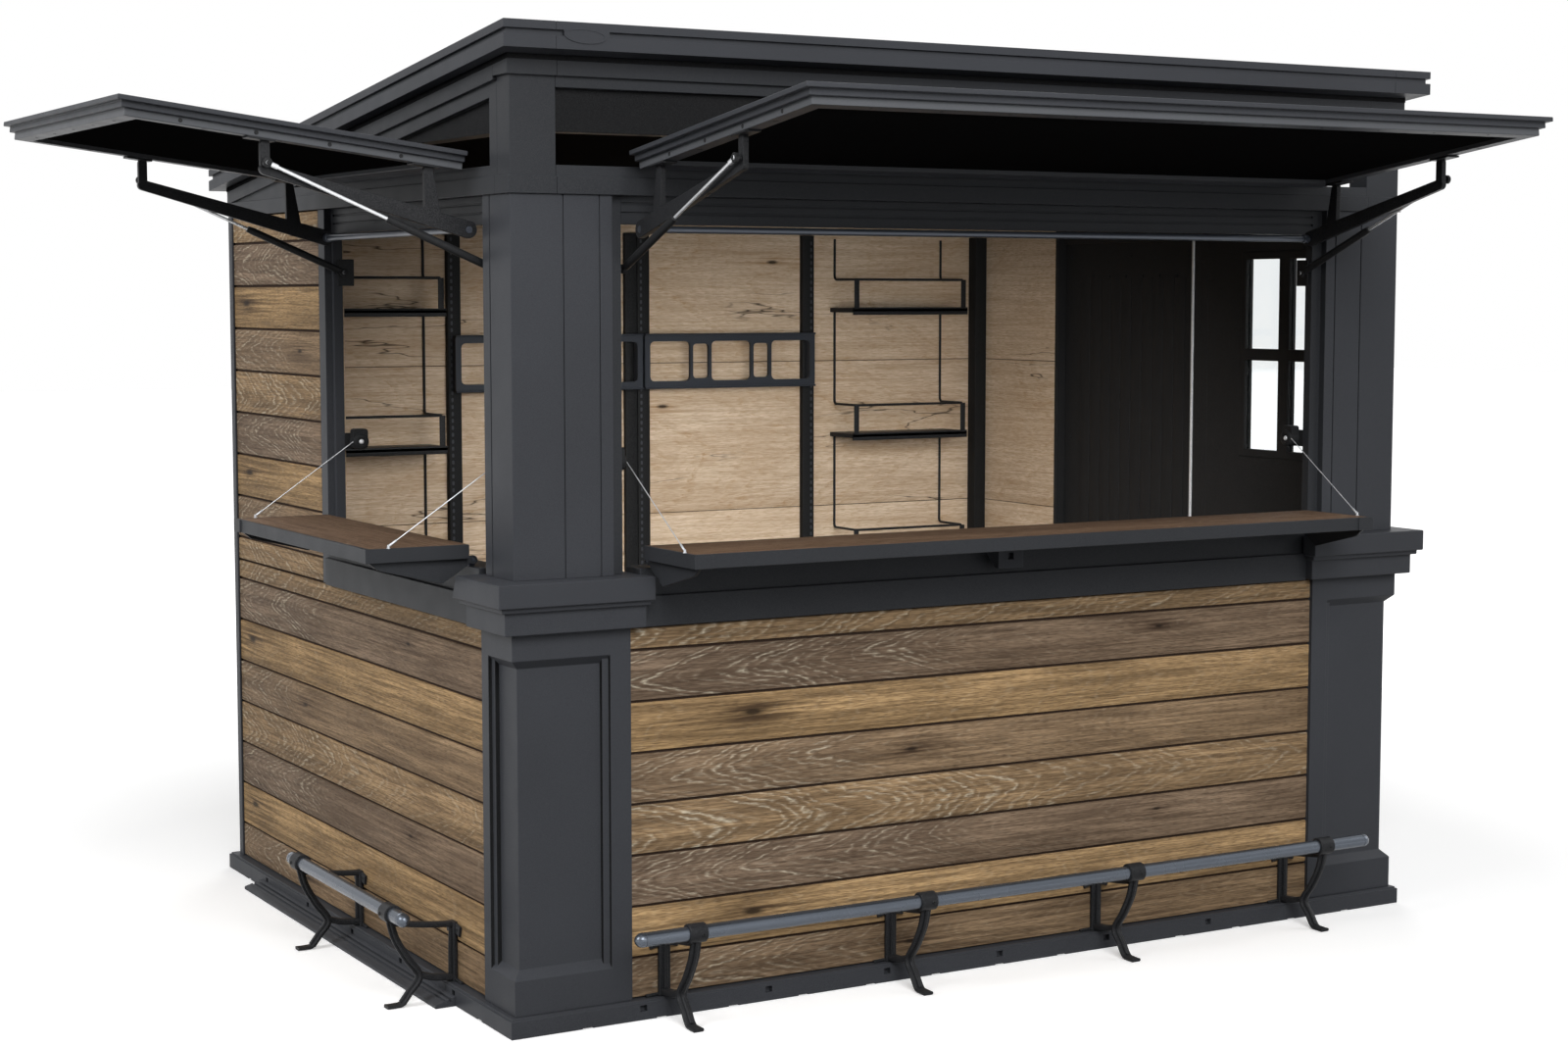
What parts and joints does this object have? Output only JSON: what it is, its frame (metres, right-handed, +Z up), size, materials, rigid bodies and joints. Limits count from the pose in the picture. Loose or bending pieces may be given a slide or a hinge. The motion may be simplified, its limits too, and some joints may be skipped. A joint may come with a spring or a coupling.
{
  "type": "street kiosk",
  "caption": "Small hollow serving kiosk with a sloping roof, open hatch flaps on two sides, fold-up counters, foot rails and a hinged side door.",
  "frame": {"origin": "centre of the underside of the base", "axes": "+X along the front to the right, +Y to the back, +Z up"},
  "size_m": [3.5372, 2.8912, 2.301],
  "materials": {
    "resin_dark": "satin",
    "siding_wood": "brushed",
    "counter_edge": "satin",
    "counter_wood": "satin",
    "fitting_metal": "satin",
    "rail_steel": "satin",
    "bracket_metal": "satin",
    "strut_chrome": "polished",
    "cable_steel": "satin",
    "pane_glass": "clear"
  },
  "bodies": {
    "building": {"base_floor": "resin_dark", "left_ledge": "resin_dark", "front_siding": "siding_wood", "left_siding": "siding_wood", "left_rear_siding": "siding_wood", "back_wall": "siding_wood", "right_rear_wall": "siding_wood", "right_front_wall": "resin_dark", "right_over_door": "resin_dark", "back_corner_trims": "resin_dark", "door_frame": "resin_dark", "door_hinges": "fitting_metal", "window_frame": "resin_dark", "window_glass": "pane_glass", "pedestals": "resin_dark", "caps": "resin_dark", "columns": "resin_dark", "left_rear_post": "resin_dark", "front_sill": "resin_dark", "left_sill": "resin_dark", "counter_catches": "resin_dark", "front_header": "resin_dark", "left_header": "resin_dark", "right_header": "resin_dark", "back_header": "resin_dark", "lower_headers": "resin_dark", "roof": "resin_dark", "front_flap": "resin_dark", "left_flap": "resin_dark", "flap_arms": "fitting_metal", "hub_bars": "rail_steel", "strut_cylinders": "fitting_metal", "strut_rods": "strut_chrome", "strut_brackets": "fitting_metal", "counter_hinges": "fitting_metal", "cable_reels": "fitting_metal", "front_cables": "cable_steel", "left_cables": "cable_steel", "foot_rails": "rail_steel", "rail_brackets": "bracket_metal", "shelf_uprights": "fitting_metal", "wire_shelves": "fitting_metal", "glass_rack": "fitting_metal"},
    "door": {"door_leaf": "resin_dark", "door_handle": "rail_steel"},
    "front_shelf": {"front_counter": "counter_edge", "front_counter_board": "counter_wood"},
    "left_shelf": {"left_counter": "counter_edge", "left_counter_board": "counter_wood"}
  },
  "joints": [
    {"name": "door_swing", "type": "hinge", "parent": "building", "child": "door", "pos_m": [1.332, 0.468, 0.96], "axis": [0, 0, 1], "range_deg": [0, 105]},
    {"name": "front_counter_fold", "type": "hinge", "parent": "building", "child": "front_shelf", "pos_m": [0, -1.009, 1.08], "axis": [-1, 0, 0], "range_deg": [0, 90], "deforming": ["front_cables"]},
    {"name": "left_counter_fold", "type": "hinge", "parent": "building", "child": "left_shelf", "pos_m": [-1.324, -0.32, 1.08], "axis": [0, 1, 0], "range_deg": [0, 90], "deforming": ["left_cables"]}
  ]
}
